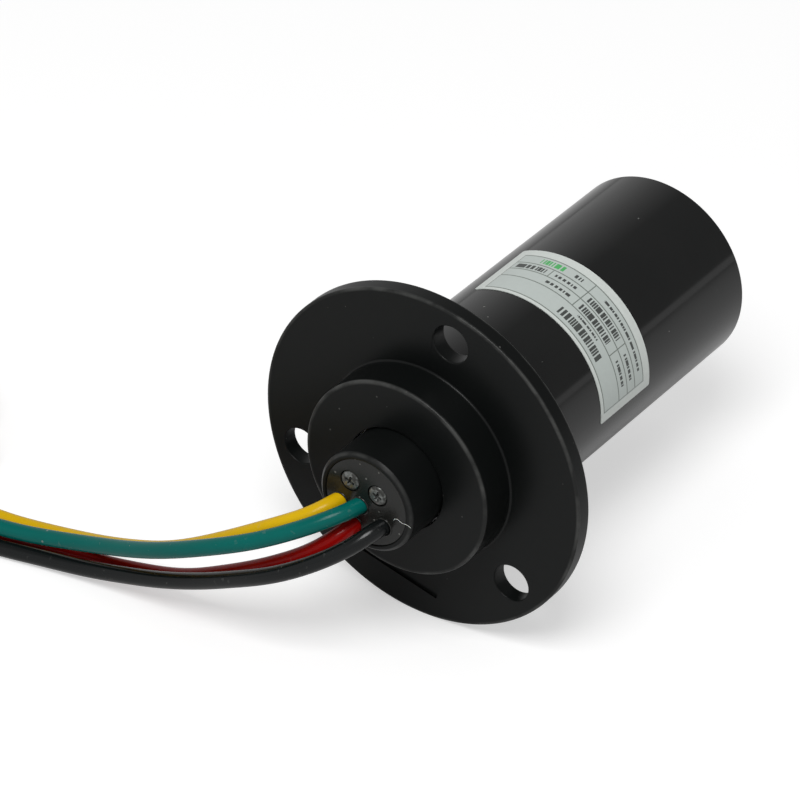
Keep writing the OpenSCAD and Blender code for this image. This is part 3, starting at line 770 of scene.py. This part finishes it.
def finish(slot, recipe, coordinates="Object", **constants):
    """Makes a material: fixed numbers go on the shader, and the recipe gives what varies."""
    material = bpy.data.materials.new(slot)
    material.use_nodes = True
    shader = material.node_tree.nodes["Principled BSDF"]
    for name, value in constants.items():
        shader.inputs[name.replace("_", " ")].default_value = value
    source = material.node_tree.nodes.new("ShaderNodeTexCoord")
    for name, wire in recipe(Wire(source.outputs[coordinates])).items():
        material.node_tree.links.new(wire.socket, shader.inputs[name])
    FINISHES[slot] = material
    return material


print("wires ready")

# %% [markdown]
# ## Dust, and edge wear with painted highlight
# Two masks serve every black surface. Dust is a Voronoi pattern: only some of its cells get a
# speck, and the specks differ in size. The edge mask is a ring: the distance from a circle round
# the shaft, broken up by noise, because handling never wears an edge evenly. The grey it lays on an
# edge is partly wear and partly a painted highlight, standing in for light a rounded edge catches.

# %% Masks shared by the finishes
def specks(place, scale, share, size):
    cells = place.add("ShaderNodeTexVoronoi", None, {"Vector": place, "Scale": scale}, "Color")
    distance = Wire(cells.socket.node.outputs["Distance"])
    chance, spread = cells.part(0), cells.part(1)
    return (chance < share) * (distance < spread * size)


def edge_wear_and_highlight(place, rings, width):
    """1 near any of the circles (radius, place along Y) round the shaft, fading out unevenly."""
    x, y, z = (place.part(axis) for axis in range(3))
    radius = (x * x + z * z) ** 0.5
    wear_and_highlight = None
    for ring_radius, ring_y in rings:
        away = ((radius - ring_radius) ** 2 + (y - ring_y) ** 2) ** 0.5
        ring = (away / width).ramp((0.35, 1), (1.0, 0))
        wear_and_highlight = ring if wear_and_highlight is None else wear_and_highlight.maths("MAXIMUM", ring)
    # This edge mask is partly wear and partly painted highlight.
    return wear_and_highlight * place.noise(260, 3).ramp((0.42, 0.25), (0.62, 1))


print("masks ready")

# %% [markdown]
# ## Moulded black
# The flange, the rotor and the rear cap are one satin black plastic. Its grain is a very fine bump,
# its gloss drifts a little over each face, dust sits on it, and its outer edges are painted grey,
# partly as wear and partly as painted highlight.

# %% Satin black moulding
EDGES = [(FLANGE_R - 0.1 * MM, FLANGE_FRONT), (FLANGE_R - 0.1 * MM, 0),
         (BOSS_R - 0.2 * MM, BOSS_TOP + 0.1 * MM), (NOZZLE_R - 0.1 * MM, NOZZLE_TOP)]


def black_moulding(place):
    dust = specks(place, 620, 0.16, 0.13)
    wear_and_highlight = edge_wear_and_highlight(place, EDGES, 0.45 * MM)
    drift = place.noise(45, 3)
    grain = place.noise(5200, 2)
    base = drift.paint((0.0034, 0.004, 0.0039), (0.0052, 0.006, 0.0058))
    # Edges painted lighter grey: partly wear, partly a painted highlight on the rounded edges.
    base = (wear_and_highlight * 0.5).paint(base, (0.1, 0.102, 0.098))
    return {"Base Color": dust.paint(base, (0.07, 0.07, 0.066)),
            "Roughness": drift * 0.12 + grain * 0.06 + dust * 0.3 + 0.25,
            "Normal": bump(grain, 0.01 * MM, 0.5)}


finish("black_moulding", black_moulding, Specular_IOR_Level=0.16)
print("finish:", "black_moulding")

# %% [markdown]
# ## Polished black tube
# The housing is turned and polished, so it mirrors the studio in long bands. Only faint smears and
# hair-thin turning marks break the mirror. The marks run round the shaft, so their noise changes
# fast along Y and slowly across it.

# %% Glossy black tube
def gloss_black_tube(place):
    dust = specks(place, 420, 0.3, 0.1)
    smear = place.noise(70, 4).ramp((0.45, 0), (0.75, 1))
    turning = place.stretched(30, 5200, 30).noise(1, 3)
    base = smear.paint((0.0062, 0.0066, 0.0065), (0.0085, 0.0088, 0.0084))
    return {"Base Color": dust.paint(base, (0.12, 0.12, 0.115)),
            "Roughness": smear * 0.07 + turning * 0.03 + dust * 0.3 + 0.07,
            "Normal": bump(turning, 0.004 * MM, 0.25)}


finish("gloss_black_tube", gloss_black_tube, Specular_IOR_Level=0.44)
print("finish:", "gloss_black_tube")

# %% [markdown]
# ## The label's print
# A pale silver film with a ruled form on it: a border, three lines along its length and short
# dividers. Where a maker would print words there are only plain broken bars, so the part names
# nobody. The film's own map runs from 0 to 1 both ways, so degrees round the tube and millimetres
# along it are turned into that map once, and each line or bar is a pair of Compare nodes.

# %% Silver label with a ruled form
LABEL_Y = LABEL_LOW.y / MM
RULES = [  # degrees from, degrees to, millimetres from, millimetres to
    (1.5, 111, 21.5, 21.7), (1.5, 111, 31.8, 32.0), (1.5, 2.0, 21.5, 32), (110.5, 111, 21.5, 32),
    (1.5, 111, 25.4, 25.6), (1.5, 111, 27.6, 27.8), (1.5, 111, 29.6, 29.8),
    (63.0, 63.6, 25.5, 32), (28.6, 29.2, 25.5, 29.7), (85.7, 86.3, 27.7, 29.7)]
BARS = [
    (31, 66, 22.4, 24.0), (40, 57, 24.6, 25.0), (68, 84, 26.3, 26.9), (35, 60, 25.9, 27.2),
    (8, 24, 26.3, 26.9), (69, 83, 28.4, 29.0), (89, 108, 28.1, 29.2), (33, 60, 28.1, 29.3),
    (8, 24, 28.4, 29.0), (70, 76, 30.4, 31.2), (10, 54, 30.6, 31.1)]
GREEN_BARS = [(82, 97, 30.2, 31.4)]


def label_boxes(u, v, boxes):
    drawn = None
    for first, last, front, rear in boxes:
        across = u.near(((first + last) / 2 - LABEL_FIRST) / LABEL_SWEEP,
                        (last - first) / 2 / LABEL_SWEEP)
        along = v.near(((front + rear) / 2 - LABEL_Y) * MM / LABEL_WIDE,
                       (rear - front) / 2 * MM / LABEL_WIDE)
        drawn = across * along if drawn is None else drawn.maths("MAXIMUM", across * along)
    return drawn


def silver_label(film):
    u, v = film.part(0), film.part(1)
    broken = film.stretched(84, 0, 1).noise(1, 0) < 0.55
    lines = label_boxes(u, v, RULES)
    bars = label_boxes(u, v, BARS) * broken
    green = label_boxes(u, v, GREEN_BARS) * broken
    margin = u.near(0.4955, 0.4525) * v.near(0.4606, 0.4134)
    paper = margin.paint((0.66, 0.7, 0.67), (0.52, 0.57, 0.545))
    paper = film.stretched(40, 16, 1).noise(1, 4).ramp((0.3, 0), (0.8, 0.25)).paint(
        paper, (0.44, 0.48, 0.46))
    inked = (lines * 0.8).paint(paper, (0.1, 0.12, 0.1))
    inked = (bars * 0.92).paint(inked, (0.022, 0.024, 0.022))
    inked = (green * 0.9).paint(inked, (0.03, 0.42, 0.08))
    return {"Base Color": inked, "Roughness": bars * 0.1 + film.noise(30, 3) * 0.12 + 0.3}


finish("silver_label", silver_label, "UV")
print("label rules:", len(RULES), "and bars:", len(BARS) + len(GREEN_BARS))

# %% [markdown]
# ## The leads' insulation
# Four colours of one soft plastic, with a satin sheen. Each has a slight unevenness of colour, a
# few grey scuffs and faint ripples, so that its highlight isn't a perfect line.

# %% Coloured insulation
def insulation(colour, shade):
    def recipe(place):
        tone = place.noise(120, 3)
        scuff = place.noise(900, 2).ramp((0.66, 0), (0.76, 1))
        dust = specks(place, 700, 0.2, 0.14)
        mixed = tone.paint(shade, colour)
        mixed = (scuff * 0.12).paint(mixed, (0.3, 0.3, 0.28))
        return {"Base Color": (dust * 0.6).paint(mixed, (0.3, 0.3, 0.28)),
                "Roughness": tone * 0.1 + scuff * 0.15 + 0.2,
                "Normal": bump(place.noise(420, 3), 0.05 * MM, 0.35)}
    return recipe


for slot, colour, shade in (
        ("yellow_insulation", (0.74, 0.47, 0.004), (0.62, 0.37, 0.002)),
        ("green_insulation", (0.0003, 0.13, 0.112), (0.0003, 0.1, 0.086)),
        ("red_insulation", (0.36, 0.004, 0.003), (0.27, 0.003, 0.002)),
        ("black_insulation", (0.0045, 0.0058, 0.006), (0.003, 0.0038, 0.004))):
    finish(slot, insulation(colour, shade),
           Specular_IOR_Level=0.3 if slot.startswith("black") else 0.14)
print("insulation colours:", 4)

# %% [markdown]
# ## Resin, screws and nylon
# The outlet plate is dark glossy resin with dust in it. The small screws are plated steel, grey
# and grimy, brighter where a driver has touched them. The ties are milky nylon, which lets a
# little light in.

# %% Resin, plated screws and nylon
def gloss_resin(place):
    dust = specks(place, 900, 0.35, 0.16)
    film = place.noise(300, 3)
    return {"Base Color": dust.paint(film.paint((0.006, 0.0065, 0.006), (0.014, 0.014, 0.012)),
                                     (0.12, 0.12, 0.11)),
            "Roughness": film * 0.2 + dust * 0.3 + 0.1,
            "Normal": bump(place.noise(700, 2), 0.03 * MM, 0.4)}


def steel_screw(place):
    grime = place.noise(1500, 4).ramp((0.38, 0), (0.56, 1))
    return {"Base Color": grime.paint((0.24, 0.25, 0.24), (0.035, 0.036, 0.033)),
            "Metallic": 1 - grime * 0.7,
            "Roughness": grime * 0.3 + 0.32,
            "Normal": bump(place.noise(3500, 2), 0.02 * MM, 0.5)}


def nylon(place):
    tone = place.noise(400, 2)
    return {"Base Color": tone.paint((0.72, 0.71, 0.66), (0.8, 0.79, 0.75)),
            "Roughness": tone * 0.15 + 0.35}


finish("gloss_resin", gloss_resin, Specular_IOR_Level=0.36)
finish("steel_screw", steel_screw)
finish("nylon_tie", nylon, Subsurface_Weight=0.15, Subsurface_Scale=0.001)
print("finishes so far:", len(FINISHES))

# %% [markdown]
# ## The working parts inside
# Rings, brushes, bearings and their carrier can be seen only when the part is opened, or through
# the rear outlet. Two recipes serve them all: a metal with turning or rolling marks, and a filled
# plastic with a mottled grain.

# %% Metals and plastics of the inside
def metal(colour, roughness, marks):
    def recipe(place):
        tarnish = place.noise(220, 3)
        lines = place.stretched(*marks).noise(1, 2)
        darker = tuple(0.7 * channel for channel in colour)
        return {"Base Color": tarnish.paint(darker, colour),
                "Roughness": tarnish * 0.12 + lines * 0.08 + roughness,
                "Normal": bump(lines, 0.006 * MM, 0.4)}
    return recipe


def filled_plastic(colour, roughness, grain):
    def recipe(place):
        mottle = place.noise(grain, 4)
        darker = tuple(0.72 * channel for channel in colour)
        return {"Base Color": mottle.paint(darker, colour), "Roughness": mottle * 0.15 + roughness,
                "Normal": bump(place.noise(3800, 2), 0.01 * MM, 0.5)}
    return recipe


ROUND, ROLLED = (60, 7000, 60), (3000, 60, 3000)
for slot, colour, roughness, marks in (
        ("spring_bronze", (0.62, 0.36, 0.17), 0.26, ROLLED),
        ("ring_brass", (0.78, 0.58, 0.26), 0.18, ROUND),
        ("bearing_steel", (0.62, 0.63, 0.64), 0.12, ROUND),
        ("spring_steel", (0.3, 0.31, 0.32), 0.3, ROUND),
        ("collar_aluminium", (0.78, 0.79, 0.8), 0.25, ROUND),
        ("dark_steel", (0.08, 0.08, 0.085), 0.35, ROUND),
        ("brush_graphite", (0.09, 0.09, 0.095), 0.5, ROLLED)):
    finish(slot, metal(colour, roughness, marks), Metallic=1.0)
for slot, colour, roughness, grain in (
        ("dark_moulding", (0.03, 0.03, 0.033), 0.42, 300),
        ("phenolic", (0.2, 0.06, 0.025), 0.4, 260),
        ("pale_insulator", (0.66, 0.62, 0.5), 0.4, 200),
        ("cage_nylon", (0.7, 0.66, 0.52), 0.4, 240)):
    finish(slot, filled_plastic(colour, roughness, grain))

wanted = {part["node"]: part["material_slot"] for part in frame["record"]["subparts"]}
for node, slot in wanted.items():
    for place in bpy.data.objects[node].material_slots:
        place.material = FINISHES[slot]
for name, slot in PIECES.items():
    bpy.data.objects[name].data.materials.clear()
    bpy.data.objects[name].data.materials.append(FINISHES[slot])
print("finishes:", len(FINISHES), "for", len(wanted), "solids and", len(PIECES), "pieces")

# %% [markdown]
# ## The studio
# A pale table that runs out of sight, one large soft lamp near the camera and an even pale
# surround. Black gloss shows only what it mirrors, so the surround matters more than the lamp: it
# is white near the table and dark overhead and behind, like a room above a white sweep. That dark
# part is seen by glossy rays alone. The table glows a little towards the camera, so it is as white
# as a page and still keeps the part's shadow.

# %% Table, lamp and surround
nothing_selected()
bpy.ops.mesh.primitive_plane_add(size=6, location=(0, 0, FLOOR))
table = newest("table")
table_white = bpy.data.materials.new("table_white")
table_white.use_nodes = True
tree = table_white.node_tree
tree.nodes.clear()
rays = Wire(tree.nodes.new("ShaderNodeLightPath").outputs["Is Camera Ray"])
glossy = Wire(rays.socket.node.outputs["Is Glossy Ray"])
through = Wire(rays.socket.node.outputs["Is Transmission Ray"])
seen = rays.maths("MAXIMUM", glossy).maths("MAXIMUM", through)
matt = rays.add("ShaderNodeBsdfDiffuse", None, {"Color": (0.62, 0.62, 0.62, 1)})
glow = rays.add("ShaderNodeEmission", None, {"Strength": seen * 0.1 + rays * 0.4})
both = rays.add("ShaderNodeAddShader", None, {0: matt, 1: glow})
page = tree.nodes.new("ShaderNodeOutputMaterial")
tree.links.new(both.socket, page.inputs["Surface"])
table.data.materials.append(table_white)

bpy.ops.object.light_add(type="AREA", location=(0.18, -0.42, 0.8))
lamp = newest("soft_lamp")
lamp.data.shape, lamp.data.size, lamp.data.energy = "SQUARE", 0.42, 6.0
lamp.rotation_euler = (Vector((0, 0, 0)) - lamp.location).to_track_quat("-Z", "Y").to_euler()

world = bpy.data.worlds.new("surround")
bpy.context.scene.world = world
world.use_nodes = True
tree = world.node_tree
background = tree.nodes["Background"]
rays = Wire(tree.nodes.new("ShaderNodeLightPath").outputs["Is Camera Ray"])
glossy = Wire(rays.socket.node.outputs["Is Glossy Ray"])
through = Wire(rays.socket.node.outputs["Is Transmission Ray"])
towards = Wire(tree.nodes.new("ShaderNodeTexCoord").outputs["Generated"])
sideways, backwards, upwards = (towards.part(axis) for axis in range(3))
behind = upwards.ramp((0.075, 0), (0.095, 1)) * (sideways + 1).ramp((0.4, 0), (0.9, 1)) * (
    backwards.ramp((0.0, 0), (0.2, 1)))
dark = behind.maths("MAXIMUM", upwards.ramp((0.62, 0), (0.8, 1)))
mirrored = 0.62 - dark * 0.4
strength = rays.maths("MAXIMUM", through) + glossy * mirrored + (
    1 - rays.maths("MAXIMUM", glossy).maths("MAXIMUM", through)) * 0.36
tree.links.new(strength.socket, background.inputs["Strength"])
background.inputs["Color"].default_value = (1, 1, 1, 1)
bpy.context.scene.view_settings.view_transform = "Standard"
print("studio ready")

# %% [markdown]
# ## Closing
# The dressed part is meant to keep the solids' size. The selection is cleared and the scene is
# brought up to date.

# %% Clear the selection and update the scene
nothing_selected()
bpy.context.view_layer.update()
